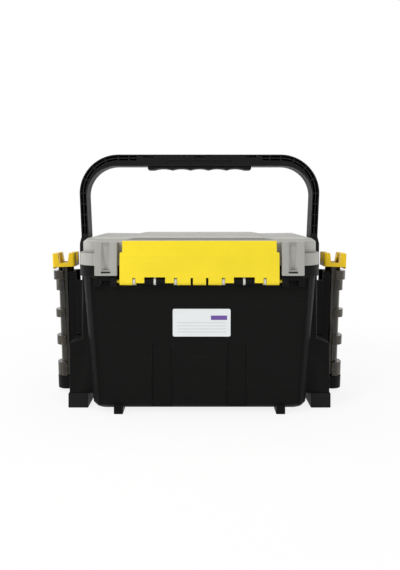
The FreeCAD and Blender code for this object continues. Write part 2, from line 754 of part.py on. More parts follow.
def lid_cuts(upper_x, upper_y, upper_corner):
    """What is taken out of the lid: its hollow, the latch bay, thumb grooves, slots and hinge gaps."""
    hollow_points = rounded(upper_x - s.lid_wall, upper_y - s.lid_wall - s.latch_recess,
                            upper_corner - s.lid_wall)
    full_hollow = prism("lid_full_hollow", "xy", hollow_points,
                        (lid_bottom - s.overrun, lid_top - s.lid_wall))
    hollow = cut("lid_hollow", full_hollow, [rear_slope("lid_hollow_slope", s.lid_wall)])
    low_points = rounded(lid_half_width - s.lid_wall, lid_half_depth - s.latch_recess - s.lid_wall,
                         upper_corner)
    low_hollow = prism("lid_low_hollow", "xy", low_points,
                       (lid_bottom - s.overrun, lid_step_top - s.lid_wall))
    bay_y = (front_face - s.overrun, s.latch_recess - lid_half_depth)
    bay_z = (lid_bottom - s.overrun, lid_top + s.overrun)
    bay = block("latch_bay", (-block_inner, block_inner), bay_y, bay_z)
    groove_x = (block_inner + s.groove_inset, block_outer - s.groove_inset)
    block_low = rim_top - s.block_drop
    block_high = rim_top + s.block_rise
    ahead = front_face - s.overrun
    groove_low = thumb_groove(groove_x, s.groove_deep, s.groove_low_floor)
    groove_high = thumb_groove(groove_x, s.groove_shallow, s.groove_high_floor)
    groove = loft("thumb_groove", [(groove_low, block_low + s.groove_lift),
                                   (groove_high, block_high + s.overrun)])
    slot_low = block_low + s.grip_slot_lift
    slot = block("grip_slot", groove_x, (ahead, front_face + s.grip_slot_depth),
                 (slot_low, slot_low + s.grip_slot_height))
    gap = s.seat_gap
    reach = s.hinge_radius + gap
    knuckle_room = hinge_bore("lid_knuckle_room", reach, middle_inner - gap, middle_outer + gap)
    web_room = block("lid_web_room", (middle_inner - gap, middle_outer + gap),
                     (rim_half_depth - s.wall - gap, hinge_y + reach), (lid_bottom - s.overrun, hinge_z))
    pin_bore = hinge_bore("lid_pin_bore", s.hinge_pin_radius + s.bore_gap,
                          hinge_inner - s.overrun, hinge_outer + s.overrun)
    slope = rear_slope("lid_rear_slope", ZERO)
    return [hollow, low_hollow, bay, slope] + both_sides([groove, slot, knuckle_room, web_room, pin_bore])


def lid_hinge_pins():
    """Steel pins that hold the lid's knuckles to the tub's middle knuckles."""
    pin = hinge_bore("hinge_pin", s.hinge_pin_radius, hinge_inner, hinge_outer)
    sub_part("lid_hinge_pin_right", pin)
    sub_part("lid_hinge_pin_left", mirrored("hinge_pin_left", pin))


def latch_flap():
    """Yellow latch flap: a bowed plate on a slotted hinge barrel, with a hook along its top edge."""
    top = latch_z + s.flap_rise
    bend = latch_z + s.flap_bend_rise
    back = front_face + s.flap_thick
    hook_y = s.latch_recess - lid_half_depth - s.seat_gap
    lean = s.flap_lean
    profile = [(front_face, latch_z), (back, latch_z), (back, bend),
               (back + lean, top - s.flap_hook_height), (hook_y, top - s.flap_hook_height),
               (hook_y, top), (front_face + lean, top), (front_face, bend)]
    plate = prism("flap_plate", "yz", profile, (-s.flap_half_width, s.flap_half_width))
    barrel = latch_bore("flap_barrel", s.latch_barrel, -s.flap_half_width, s.flap_half_width)
    pin = latch_bore("flap_pin", s.flap_pin_radius, s.flap_half_width - s.overrun,
                     s.flap_half_width + s.flap_pin_length)
    whole = fuse("flap_whole", [plate, barrel] + both_sides([pin]))
    return sub_part("latch_flap", cut("flap", whole, both_sides(flap_cuts(top))))


def flap_cuts(top):
    """The comb along the flap's lower edge and the steps at its upper corners, on one side."""
    depth = (front_face - s.overrun, latch_y + s.latch_barrel + s.overrun)
    low = latch_z - s.latch_barrel - s.overrun
    slot_top = latch_z + s.latch_barrel

    def gap(name, centre, width, high):
        return block(name, (centre - width / 2, centre + width / 2), depth, (low, high))

    tooth_low = latch_z - s.latch_barrel + s.tooth_cut
    notch_half = s.notch_width / 2
    tools = [gap(f"fin_slot_{index}", centre, s.fin_slot_width, slot_top)
             for index, centre in enumerate(fin_places)]
    tools.append(gap("lug_slot", s.lug_slot_place, s.lug_slot_width, slot_top))
    tools.append(gap("wide_notch", fin_places[1], s.notch_width, latch_z + s.notch_rise))
    for name, side in (("inner_tooth", -1), ("outer_tooth", 1)):
        centre = fin_places[1] + (notch_half + s.tooth_width / 2) * side
        tools.append(gap(name, centre, s.tooth_width, tooth_low))
    shoulder = s.flap_half_width - s.flap_shoulder_inset
    tools.append(block("flap_shoulder", (shoulder, s.flap_half_width + s.overrun), depth,
                       (latch_z + s.flap_shoulder_rise, top + s.overrun)))
    rod_start = s.lug_slot_place + s.lug_slot_width / 2
    tools.append(latch_bore("flap_rod_bore", s.latch_rod_radius + s.bore_gap,
                            rod_start, rod_start + s.latch_rod_length + s.seat_gap))
    return tools


def latch_hinge_line():
    """On each side: a steel rod, and a pale strip on the rim whose three fins carry the rod."""
    rod_start = s.lug_slot_place + s.lug_slot_width / 2 + s.seat_gap
    steel = latch_bore("latch_rod", s.latch_rod_radius, rod_start, rod_start + s.latch_rod_length)
    strip_low = latch_z + s.strip_lift
    strip_y = (-(rim_half_depth + s.strip_thick), -rim_half_depth)
    half_fin = s.fin_width / 2
    strip_x = (fin_places[0] - half_fin, fin_places[2] + half_fin)
    shapes = [block("strip_plate", strip_x, strip_y, (strip_low, strip_low + s.strip_height))]
    for index, centre in enumerate(fin_places):
        fin_x = (centre - half_fin, centre + half_fin)
        shapes.append(latch_bore(f"fin_nose_{index}", s.fin_nose, *fin_x))
        stem_y = (latch_y - s.latch_rod_radius, -rim_half_depth)
        shapes.append(block(f"fin_stem_{index}", fin_x, stem_y, (latch_z, strip_low)))
    bore = latch_bore("strip_bore", s.latch_rod_radius + s.bore_gap,
                      strip_x[0] - s.overrun, strip_x[1] + s.overrun)
    strip = cut("hinge_strip", fuse("strip_whole", shapes), [bore])
    for label, feature in (("latch_rod", steel), ("latch_hinge_strip", strip)):
        sub_part(label + "_right", feature)
        sub_part(label + "_left", mirrored(feature.Name + "_left", feature))


def handle_hubs():
    """Black pivot hubs: a pin in the tub's boss, a disc and a journal in the handle's leg."""
    disc_in = rim_half_width + s.boss_reach + s.seat_gap
    disc_out = disc_in + s.hub_disc_thick
    at_pivot = (ZERO, pivot_z)
    pin = rod("hub_pin", "x", s.hub_pin_radius, (disc_in - s.hub_pin_length, disc_in), at_pivot)
    disc = rod("hub_disc", "x", s.hub_disc_radius, (disc_in, disc_out), at_pivot)
    journal_x = (disc_out, disc_out + s.hub_journal_length)
    journal = rod("hub_journal", "x", s.hub_journal_radius, journal_x, at_pivot)
    hub = fuse("hub", [pin, disc, journal])
    sub_part("handle_hub_right", hub)
    sub_part("handle_hub_left", mirrored("hub_left", hub))


# Places on the bail handle, worked out from the hubs outwards and from the pivot upwards
leg_in = rim_half_width + s.boss_reach + s.seat_gap + s.hub_disc_thick + s.seat_gap
leg_out = leg_in + s.leg_width
waist_out = leg_out - s.leg_flare
top_out = waist_out + s.leg_spread
top_in = top_out - s.leg_width
handle_top = pivot_z + s.handle_rise
bar_under = handle_top - s.bar_height
corner_x = top_out - s.handle_corner
corner_z = handle_top - s.handle_corner
waist_z = pivot_z + s.leg_waist_rise
flare_z = waist_z - s.leg_flare_rise


def handle_outline():
    """Front outline of the bail: flared feet, slightly spread legs and round upper corners."""
    inner_corner = s.handle_corner - (s.leg_width + s.bar_height) / 2
    waist_in = waist_out - s.leg_width
    right_outer = [(leg_out, pivot_z), (leg_out, flare_z), (waist_out, waist_z),
                   (top_out, corner_z, s.handle_corner), (corner_x, handle_top)]
    left_outer = [(-corner_x, handle_top, s.handle_corner), (-top_out, corner_z),
                  (-waist_out, waist_z), (-leg_out, flare_z), (-leg_out, pivot_z)]
    left_inner = [(-leg_in, pivot_z), (-leg_in, flare_z), (-waist_in, waist_z),
                  (-top_in, bar_under - inner_corner, -inner_corner), (inner_corner - top_in, bar_under)]
    right_inner = [(top_in - inner_corner, bar_under, -inner_corner), (top_in, bar_under - inner_corner),
                   (waist_in, waist_z), (leg_in, flare_z), (leg_in, pivot_z)]
    return right_outer + left_outer + left_inner + right_inner


def pocket_row(name, near, far):
    """One row of pockets round the right half of the bail, between two depths from its outer edge."""
    start_z = pivot_z + s.pocket_start_rise
    start_x = along(waist_out, top_out, start_z - waist_z, corner_z - waist_z)
    end_x = s.pocket_end_place
    points = [(start_x - far, start_z), (start_x - near, start_z),
              (top_out - near, corner_z, s.handle_corner - near), (corner_x, handle_top - near),
              (end_x, handle_top - near), (end_x, handle_top - far),
              (corner_x, handle_top - far, far - s.handle_corner), (top_out - far, corner_z)]
    reach = s.handle_half_depth + s.overrun
    return prism(name, "xz", points, (-reach, reach))


def handle_ribs():
    """Cross ribs between the pockets: up the leg, round the corner and along the bar."""
    reach = s.handle_half_depth + s.overrun
    depth = (-reach, reach)
    half_rib = s.rib_width / 2
    ribs = []
    for index in range(LEG_RIBS):
        level = corner_z - s.rib_pitch * index
        ribs.append(block(f"leg_rib_{index}", (top_in - s.leg_spread, leg_out + s.overrun), depth,
                          (level - half_rib, level + half_rib)))
    for index in range(BAR_RIBS):
        across = corner_x - s.rib_pitch * index
        ribs.append(block(f"bar_rib_{index}", (across - half_rib, across + half_rib), depth,
                          (bar_under, handle_top + s.overrun)))
    for index in range(CORNER_RIBS):
        rib = block(f"corner_rib_{index}", (ZERO, s.handle_corner + s.overrun), depth, (ZERO, s.rib_width))
        rib.Placement.Rotation = FreeCAD.Rotation(AXES["y"], -90 * (index + 1) / (CORNER_RIBS + 1))
        place(rib, x=corner_x, z=corner_z)
        ribs.append(rib)
    return ribs


def handle_frame():
    """Black bail handle with ribbed pockets on its front and rear faces."""
    depth = (-s.handle_half_depth, s.handle_half_depth)
    arch = prism("bail_arch", "xz", handle_outline(), depth)
    foot = rod("bail_foot", "x", s.handle_half_depth, (leg_in, leg_out), (ZERO, pivot_z))
    row = (s.leg_width - s.flange * 2 - s.mid_flange) / 2
    second = s.flange + row + s.mid_flange
    rows = [pocket_row("outer_pockets", s.flange, s.flange + row),
            pocket_row("inner_pockets", second, second + row)]
    web_reach = leg_out + s.overrun
    web = block("bail_web", (ZERO, web_reach), (-s.handle_web / 2, s.handle_web / 2),
                (pivot_z, handle_top + s.overrun))
    pockets = cut("bail_pockets", fuse("pocket_rows", rows), [web] + handle_ribs())
    journal_end = leg_in + s.hub_journal_length
    bore = rod("bail_bore", "x", s.hub_journal_radius + s.bore_gap, (leg_in - s.overrun, journal_end),
               (ZERO, pivot_z))
    slot_z = (handle_top - s.top_slot_drop - s.top_slot_height, handle_top - s.top_slot_drop)
    face_y = (-s.handle_half_depth - s.overrun, s.top_slot_depth - s.handle_half_depth)
    slot_x = (s.top_slot_place, s.top_slot_place + s.top_slot_width)
    side_slot = block("bail_side_slot", slot_x, face_y, slot_z)
    mid_slot = block("bail_mid_slot", (-s.top_slot_width / 2, s.top_slot_width / 2), face_y, slot_z)
    plaque_z = (bar_under + s.plaque_lift, bar_under + s.plaque_lift + s.plaque_height)
    plaque_y = (-s.handle_half_depth - s.overrun, s.plaque_depth - s.handle_half_depth)
    plaque = block("bail_plaque", (-s.plaque_half_width, s.plaque_half_width), plaque_y, plaque_z)
    faces = both_sides([side_slot]) + [mid_slot, plaque]
    faces = faces + [mirrored(shape.Name + "_rear", shape, "y") for shape in faces]
    tongue_room = grip_tongue("grip_tongue_room", s.bore_gap)
    whole = fuse("bail_whole", [arch] + both_sides([foot]))
    return sub_part("handle_frame", cut("bail", whole, both_sides([pockets, bore]) + faces + [tongue_room]))


def grip_tongue(name, clear):
    """The tongue that holds the grip in the bar, or the room for it with a clearance."""
    half_length = s.grip_half_length - s.grip_tongue_inset + clear
    half_depth = s.grip_tongue_half_depth + clear
    return block(name, (-half_length, half_length), (-half_depth, half_depth),
                 (bar_under, bar_under + s.grip_tongue_height + clear))


def handle_grip():
    """Soft grip under the bar, with finger scallops along its lower edge."""
    low = bar_under - s.grip_drop
    reach = s.grip_half_length
    scalloped = reach - s.grip_end
    pitch = scalloped * 2 / GRIP_SCALLOPS
    bite = s.grip_scallop
    radius = (pitch * pitch / 4 + bite * bite) / (bite * 2)
    points = [(-reach, low)]
    points += [(pitch * index - scalloped, low, -radius) for index in range(GRIP_SCALLOPS)]
    points += [(scalloped, low), (reach, low), (reach, bar_under), (-reach, bar_under)]
    half_depth = s.handle_half_depth - s.flange
    pad = prism("grip_pad", "xz", points, (-half_depth, half_depth))
    return sub_part("handle_grip", fuse("grip", [pad, grip_tongue("grip_tongue", ZERO)]))


# Places of the inner tray, which rests on the tub's ledges
tray_half_width = s.tub_half_width - s.wall - s.tray_gap
tray_half_depth = s.tub_half_depth - s.wall - s.tray_gap
tray_floor = tub_top - s.tray_drop + s.seat_gap
tray_top = tray_floor + s.tray_height
tray_inner_depth = tray_half_depth - s.tray_wall


def inner_tray():
    """Lift-out tray with finger notches in its ends and grooves for its dividers."""
    outside = prism("tray_outside", "xy", rounded(tray_half_width, tray_half_depth, s.tray_corner),
                    (tray_floor, tray_top))
    inside = prism("tray_inside", "xy", rounded(tray_half_width - s.tray_wall, tray_inner_depth,
                                                s.tray_corner - s.tray_wall),
                   (tray_floor + s.tray_wall, tray_top + s.overrun))
    notch = block("tray_notch", (tray_half_width - s.tray_wall - s.overrun, tray_half_width + s.overrun),
                  (-s.tray_notch_half_width, s.tray_notch_half_width),
                  (tray_top - s.tray_notch_depth, tray_top + s.overrun))
    half_groove = s.divider_thick / 2 + s.bore_gap
    grooves = []
    for index, share in enumerate(DIVIDER_SHARES):
        middle = tray_half_width * share
        groove_y = (-tray_inner_depth - s.divider_groove, tray_inner_depth + s.divider_groove)
        grooves.append(block(f"tray_groove_{index}", (middle - half_groove, middle + half_groove), groove_y,
                             (tray_floor + s.tray_wall, tray_top + s.overrun)))
    return sub_part("inner_tray", cut("tray", outside, [inside] + both_sides([notch]) + grooves))


def tray_dividers():
    """Thin plates that slide down in the tray's grooves."""
    half_depth = tray_inner_depth + s.divider_groove - s.bore_gap
    for index, share in enumerate(DIVIDER_SHARES, start=1):
        middle = tray_half_width * share
        plate = block(f"divider_{index}", (middle - s.divider_thick / 2, middle + s.divider_thick / 2),
                      (-half_depth, half_depth), (tray_floor + s.tray_wall, tray_top - s.divider_drop))
        sub_part(f"tray_divider_{index}", plate)


def leaned(name, feature):
    """Set a piece of the right rod stand, drawn about its upright tube, in its leaning place."""
    stood = group(name, [feature])
    stood.Placement.Rotation = FreeCAD.Rotation(AXES["y"], s.stand_lean.value)
    stood.setExpression("Placement.Rotation.Angle", s.stand_lean.text)
    place(stood, x=stand_x, z=s.stand_floor)
    return stood


def stand_piece(label, feature):
    """Hand in a piece of the right rod stand and its mirror image on the left."""
    stood = sub_part(label + "_right", leaned(feature.Name + "_right", feature))
    sub_part(label + "_left", mirrored(feature.Name + "_left", stood))


def tongue(name, clear, above=ZERO):
    """The bracket's tongue in the tub's side socket, or the room for it with a clearance."""
    inner = s.tub_half_width + s.tongue_out - s.tongue_thick / 2 - tongue_axis()
    return block(name, (inner - clear, inner + s.tongue_thick + clear),
                 (-s.arm_half_depth - clear, s.arm_half_depth + clear),
                 (s.arm_level - s.tongue_length - clear, s.arm_level + above))


def tongue_axis():
    """How far out the leaning tube's axis stands at the height of the tongue."""
    rise = s.arm_level * math.tan(math.radians(s.stand_lean.value))
    return stand_x + rise


def rod_tube():
    """Smoke-clear tube that takes a rod butt, with half rings and collars on its outer side."""
    low = s.cup_floor
    high = low + s.tube_length
    first_ring = s.cup_height + s.ring_gap
    column = rod("tube_column", "z", s.tube_radius, (low, high))
    bands = []
    for start, height in zip(RING_START_SHARES, RING_HEIGHT_SHARES):
        bottom = first_ring + (high - first_ring) * start
        bands.append((s.ring_reach, bottom, bottom + (high - first_ring) * height))
    upper = high - s.collar_drop - s.collar_high_height
    lower = upper - s.collar_gap - s.collar_low_height
    bands.append((s.collar_reach, lower, lower + s.collar_low_height))
    bands.append((s.collar_high_reach, upper, upper + s.collar_high_height))
    rings = [rod(f"tube_band_{index}", "z", s.tube_radius + reach, span)
             for index, (reach, *span) in enumerate(bands)]
    widest = s.tube_radius + s.collar_high_reach + s.overrun
    outer_half = block("tube_outer_half", (s.tube_seat, widest), (-widest, widest), (low, high))
    half_rings = doc.addObject("Part::Common", "tube_half_rings")
    half_rings.Base = fuse("tube_rings", rings)
    half_rings.Tool = outer_half
    bore = rod("tube_bore", "z", s.tube_radius - s.tube_wall, (low - s.overrun, high + s.overrun))
    pilot = screw_rods("tube_pilot", s.screw_radius + s.bore_gap, -s.tube_radius - s.overrun, ZERO)
    stand_piece("rod_tube", cut("tube", fuse("tube_whole", [column, half_rings]), [bore] + pilot))


def rod_crown():
    """Yellow crown on the tube: a block with a trough from front to rear and a notch on its inner side."""
    low = s.cup_floor + s.tube_length - s.crown_seat
    high = low + s.crown_height
    head = prism("crown_block", "xy", rounded(s.crown_half, s.crown_half, s.crown_corner), (low, high))
    tab_y = (s.crown_corner - s.crown_half, s.crown_half - s.crown_corner)
    tab = block("crown_tab", (s.crown_half - s.crown_tab, s.crown_half), tab_y, (low - s.crown_tab_drop, low))
    socket = rod("crown_seat", "z", s.tube_radius + s.bore_gap, (low - s.crown_tab_drop, low + s.crown_seat))
    bore = rod("crown_bore", "z", s.tube_radius - s.tube_wall, (low, high + s.overrun))
    reach = s.crown_half + s.overrun
    floor = high - s.notch_depth
    half_mouth = s.notch_mouth / 2
    half_floor = s.notch_floor / 2
    trough_points = [(-half_floor, floor), (half_floor, floor), (half_mouth, high),
                     (half_mouth, high + s.overrun), (-half_mouth, high + s.overrun), (-half_mouth, high)]
    trough = prism("crown_trough", "xz", trough_points, (-reach, reach))
    inward = block("crown_inner_notch", (-reach, ZERO), (-s.inner_notch / 2, s.inner_notch / 2),
                   (floor, high + s.overrun))
    stand_piece("rod_crown", cut("crown", fuse("crown_whole", [head, tab]), [socket, bore, trough, inward]))


def rod_cup():
    """Black cup that closes the tube's lower end."""
    outside = rod("cup_outside", "z", s.cup_radius, (ZERO, s.cup_height))
    seat = rod("cup_seat", "z", s.tube_radius + s.bore_gap, (s.cup_floor, s.cup_height + s.overrun))
    stand_piece("rod_cup", cut("cup", outside, [seat]))


def channel_end():
    """The upper end of the bracket channel, a gap below the tube's upper end."""
    return s.cup_floor + s.tube_length - s.channel_head_gap


def screw_rods(name, radius, inner, outer):
    """One rod across the bracket at each screw's place."""
    length = channel_end() - s.channel_start
    places = [s.channel_start + length * share for share in SCREW_PLACE_SHARES]
    return [rod(f"{name}_{index}", "x", radius, (inner, outer), (ZERO, level))
            for index, level in enumerate(places)]


def rod_bracket():
    """Black channel behind the tube, with an arm whose tongue drops into the tub's side socket."""
    plate_out = -s.tube_radius - s.tube_seat
    plate_in = plate_out - s.channel_plate
    span = (s.channel_start, channel_end())
    plate = block("channel_back", (plate_in, plate_out), (-s.channel_half_depth, s.channel_half_depth), span)
    flange_y = (-s.channel_half_depth, -s.tube_radius - s.channel_plate / 2)
    flange_x = (plate_in - s.channel_lip, plate_in + s.channel_flange_reach)
    flange = block("channel_flange", flange_x, flange_y, span)
    flanges = [flange, mirrored("channel_flange_rear", flange, "y")]
    key = tongue("bracket_tongue", ZERO)
    arm_in = s.tub_half_width + s.tongue_out - s.tongue_thick / 2 - tongue_axis()
    arm = block("bracket_arm", (arm_in, plate_out), (-s.arm_half_depth, s.arm_half_depth),
                (s.arm_level, s.arm_level + s.arm_height))
    holes = screw_rods("channel_hole", s.screw_radius + s.bore_gap,
                       plate_in - s.overrun, plate_out + s.overrun)
    stand_piece("rod_bracket", cut("bracket", fuse("bracket_whole", [plate, arm, key] + flanges), holes))


def stand_screws():
    """Two pan-head screws that hold the tube to its bracket channel."""
    head_out = -s.tube_radius - s.tube_seat - s.channel_plate
    tip = -s.tube_radius + s.tube_wall - s.seat_gap
    heads = screw_rods("screw_head", s.screw_head_radius, head_out - s.screw_head_height, head_out)
    shanks = screw_rods("screw_shank", s.screw_radius, head_out, tip)
    screws = [fuse(f"screw_{index}", list(pair)) for index, pair in enumerate(zip(heads, shanks))]
    stand_piece("stand_screws", group("screws", screws))


body_shell()
corner_feet()
front_label()
lid_shell()
lid_hinge_pins()
latch_flap()
latch_hinge_line()
handle_hubs()
handle_frame()
handle_grip()
inner_tray()
tray_dividers()
rod_tube()
rod_crown()
rod_cup()
rod_bracket()
stand_screws()
doc.recompute()

for feature in doc.Objects:
    faults = [state for state in feature.State if state in ("Invalid", "Error")]
    if faults:
        raise RuntimeError(f"{feature.Name} is {faults}")
for feature in sub_parts:
    if feature.Shape.isNull() or not feature.Shape.isValid() or not feature.Shape.Solids:
        raise RuntimeError(f"{feature.Label} has no valid solid")
os.makedirs("parts", exist_ok=True)
for feature in sub_parts:
    feature.Shape.exportStep(f"parts/{feature.Label}.step")
    print(feature.Label, len(feature.Shape.Solids), round(feature.Shape.Volume))
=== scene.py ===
import json
import math

import bmesh
import bpy
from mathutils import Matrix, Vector
from mathutils.geometry import intersect_line_line_2d, intersect_point_line


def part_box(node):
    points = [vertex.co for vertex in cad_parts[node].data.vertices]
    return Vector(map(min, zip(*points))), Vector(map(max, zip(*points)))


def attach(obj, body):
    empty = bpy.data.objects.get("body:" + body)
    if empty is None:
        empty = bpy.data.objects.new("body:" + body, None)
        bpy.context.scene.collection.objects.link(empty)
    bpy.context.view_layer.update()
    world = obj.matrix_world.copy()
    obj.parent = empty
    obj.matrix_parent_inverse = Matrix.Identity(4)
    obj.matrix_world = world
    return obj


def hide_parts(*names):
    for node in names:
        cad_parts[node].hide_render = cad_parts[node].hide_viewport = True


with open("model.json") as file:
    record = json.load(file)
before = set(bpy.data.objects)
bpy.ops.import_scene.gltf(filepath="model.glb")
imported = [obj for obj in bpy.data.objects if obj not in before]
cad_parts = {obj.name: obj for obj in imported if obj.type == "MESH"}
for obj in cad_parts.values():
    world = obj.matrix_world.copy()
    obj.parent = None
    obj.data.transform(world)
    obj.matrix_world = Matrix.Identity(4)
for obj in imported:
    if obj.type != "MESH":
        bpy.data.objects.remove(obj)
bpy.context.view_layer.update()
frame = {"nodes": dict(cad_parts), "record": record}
scene = bpy.context.scene
scene.view_settings.view_transform = "Standard"

# Camera: level with the upper half of the box and about a metre in front of it. The lens is shifted down,
# so that the uprights stay upright while the horizon lies above the middle of the picture.
PICTURE_WIDTH = 400
PICTURE_HEIGHT = 570
FOCAL_PIXELS = 562
HORIZON_ROW = 208
MIDDLE_COLUMN = 199.5
SENSOR_MM = 36
CAMERA_PLACE = (0, -1.049, 0.338)
lens = bpy.data.cameras.new("front_lens")
lens.sensor_width = SENSOR_MM
lens.lens = SENSOR_MM * FOCAL_PIXELS / PICTURE_HEIGHT
lens.shift_x = (PICTURE_WIDTH / 2 - MIDDLE_COLUMN) / PICTURE_HEIGHT
lens.shift_y = (HORIZON_ROW - PICTURE_HEIGHT / 2) / PICTURE_HEIGHT
camera = bpy.data.objects.new("front_camera", lens)
camera.location = CAMERA_PLACE
camera.rotation_euler = (math.radians(90), 0, 0)
scene.collection.objects.link(camera)
scene.camera = camera


# Floor: a wide white sheet under the box. What looks at it directly sees it nearly white, and plain white
# from some way off; the rest of its brightness comes from the lamps, so that the box's shadow stays on it.
class Value:
    """A number that changes over a surface; sums and products of it add Math nodes."""

    def __init__(self, finish, socket):
        self.finish = finish
        self.socket = socket

    def maths(self, operation, first, second):
        return self.finish.node("ShaderNodeMath", {"operation": operation}, {0: first, 1: second})

    def __add__(self, other):
        return self.maths("ADD", self, other)

    __radd__ = __add__

    def __sub__(self, other):
        return self.maths("SUBTRACT", self, other)

    def __rsub__(self, other):
        return self.maths("SUBTRACT", other, self)

    def __mul__(self, other):
        return self.maths("MULTIPLY", self, other)

    __rmul__ = __mul__


class Finish:
    """A node tree, with one method that adds any node and sets or links its sockets."""

    def __init__(self, tree, output):
        self.tree = tree
        tree.nodes.clear()
        self.output = tree.nodes.new(output)

    def node(self, kind, settings, inputs, output=0):
        made = self.tree.nodes.new(kind)
        for name, setting in settings.items():
            setattr(made, name, setting)
        for name, value in inputs.items():
            self.feed(made.inputs[name], value)
        return Value(self, made.outputs[output])

    def feed(self, socket, value):
        if isinstance(value, Value):
            self.tree.links.new(value.socket, socket)
        else:
            socket.default_value = value

    def show(self, surface):
        self.feed(self.output.inputs["Surface"], surface)

    def place(self):
        """Where a point lies in the frame, in metres."""
        return self.node("ShaderNodeTexCoord", {}, {}, "Object")

    def stretched(self, scales, turn=(0, 0, 0)):
        """The place, turned and drawn out to a different scale along each axis."""
        return self.node("ShaderNodeMapping", {}, {"Vector": self.place(), "Rotation": turn, "Scale": scales})

    def noise(self, place, scale, detail):
        return self.node("ShaderNodeTexNoise", {}, {"Vector": place, "Scale": scale, "Detail": detail})

    def ramp(self, value, start, end, low, high):
        """A smooth step from low to high while a value goes from start to end."""
        return self.node("ShaderNodeMapRange", {"interpolation_type": "SMOOTHSTEP"}, {
            "Value": value, "From Min": start, "From Max": end, "To Min": low, "To Max": high})

    def blend(self, share, first, second):
        """A colour between two others; the numbers are the Mix node's sockets for colours."""
        return self.node("ShaderNodeMix", {"data_type": "RGBA"}, {0: share, 6: first, 7: second}, 2)

    def seen_directly(self):
        """One for what looks at the surface straight, by reflection or through a clear piece."""
        direct = self.node("ShaderNodeLightPath", {}, {}, "Is Camera Ray")
        glossy = self.node("ShaderNodeLightPath", {}, {}, "Is Glossy Ray")
        through = self.node("ShaderNodeLightPath", {}, {}, "Is Transmission Ray")
        return direct.maths("MAXIMUM", direct, direct.maths("MAXIMUM", glossy, through))


def new_finish(name):
    material = bpy.data.materials.new(name)
    material.use_nodes = True
    return material, Finish(material.node_tree, "ShaderNodeOutputMaterial")


WHITE = (1, 1, 1, 1)
PAPER_WHITE = (0.93, 0.93, 0.93, 1)
FLOOR_GLOW = 0.85
GLOW_START = 0.35
GLOW_RUN = 0.55
FLOOR_HALF = 6
floor_white, paper = new_finish("floor_white")
away = paper.node("ShaderNodeVectorMath", {"operation": "LENGTH"}, {0: paper.place()}, "Value")
fade = paper.ramp(away, GLOW_START, GLOW_START + GLOW_RUN, FLOOR_GLOW, 1)
lit = paper.node("ShaderNodeBsdfDiffuse", {}, {"Color": PAPER_WHITE})
glow = paper.node("ShaderNodeEmission", {}, {"Color": WHITE, "Strength": 1})
paper.show(paper.node("ShaderNodeMixShader", {}, {0: paper.seen_directly() * fade, 1: lit, 2: glow}))
sheet = bmesh.new()
bmesh.ops.create_grid(sheet, x_segments=1, y_segments=1, size=FLOOR_HALF)
floor_mesh = bpy.data.meshes.new("floor")
sheet.to_mesh(floor_mesh)
sheet.free()
floor_mesh.materials.append(floor_white)
floor = bpy.data.objects.new("floor", floor_mesh)
scene.collection.objects.link(floor)

# Light: a bright room of even grey, a large soft lamp high on the left, a weaker one on the right and one
# above, with two low ones at the sides that draw the edges of the black mouldings. Each lamp has its place
# and size in metres and its power in watts.
ROOM_LIGHT = 0.38
LAMPS = {
    "key": ((-1.6, -1.5, 1.9), 1.1, 33),
    "fill": ((1.6, -1.6, 1.3), 1.2, 8),
    "top": ((0, 0.2, 2.2), 1.4, 12),
    "left_edge": ((-1.8, 0.3, 0.7), 0.8, 7),
    "right_edge": ((1.8, 0.3, 0.7), 0.8, 7),
}
LAMP_TARGET = Vector((0, 0, 0.2))
world = bpy.data.worlds.new("studio")
world.use_nodes = True
scene.world = world
room = Finish(world.node_tree, "ShaderNodeOutputWorld")
level = room.seen_directly() * (1 - ROOM_LIGHT) + ROOM_LIGHT
room.show(room.node("ShaderNodeBackground", {}, {"Color": WHITE, "Strength": level}))
for name, (spot, size, watts) in LAMPS.items():
    lamp = bpy.data.lights.new(name, "AREA")
    lamp.size = size
    lamp.energy = watts
    holder = bpy.data.objects.new(name, lamp)
    holder.location = spot
    aim = LAMP_TARGET - holder.location
    holder.rotation_euler = aim.to_track_quat("-Z", "Y").to_euler()
    scene.collection.objects.link(holder)

# Tub: one black polypropylene moulding with a fine tool grain, with its rim band, edge ridges, front
# channels, corner pylons and latch ears. Its edges are slightly round, as they leave the mould.
CLOUD_SCALE = 14
CLOUD_DARK = 0.9
CLOUD_PALE = 1.1
SMUDGE_SCALE = 60
SMUDGE_ROUGHNESS = 0.16
SPECK_SCALE = 1500
GRAIN_DEPTH = 0.0002
STREAK_SCALES = (22, 160, 520)
STREAK_TURN = (0.3, 0.5, 0.2)
STREAK_START = 0.62
STREAK_FULL = 0.76
STREAK_PALENESS = 0.012
STREAK_ROUGHNESS = 0.15
SHADE_SAMPLES = 4
PAINTED_SHADE_REACH = 0.008
PAINTED_SHADE_DARK = 0.45
EDGE_REACH = 0.0012
EDGE_FULL = 0.35
EDGE_START = 0.75
FADED = 0.9


def shaded(colour, share):
    return tuple(part * share for part in colour) + (1,)


def wear_and_highlight_shade(colour, paleness):
    """A colour a little nearer to grey, as plastic turns where it has been rubbed; along the edges it is also
    a painted highlight.
    """
    return tuple(part * FADED + paleness for part in colour) + (1,)


def openness(plastic, reach, inside):
    """How free a point is of the same piece's faces within reach, outside the plastic or inside it."""
    return plastic.node("ShaderNodeAmbientOcclusion", {
        "only_local": True, "inside": inside, "samples": SHADE_SAMPLES}, {"Distance": reach}, "AO")


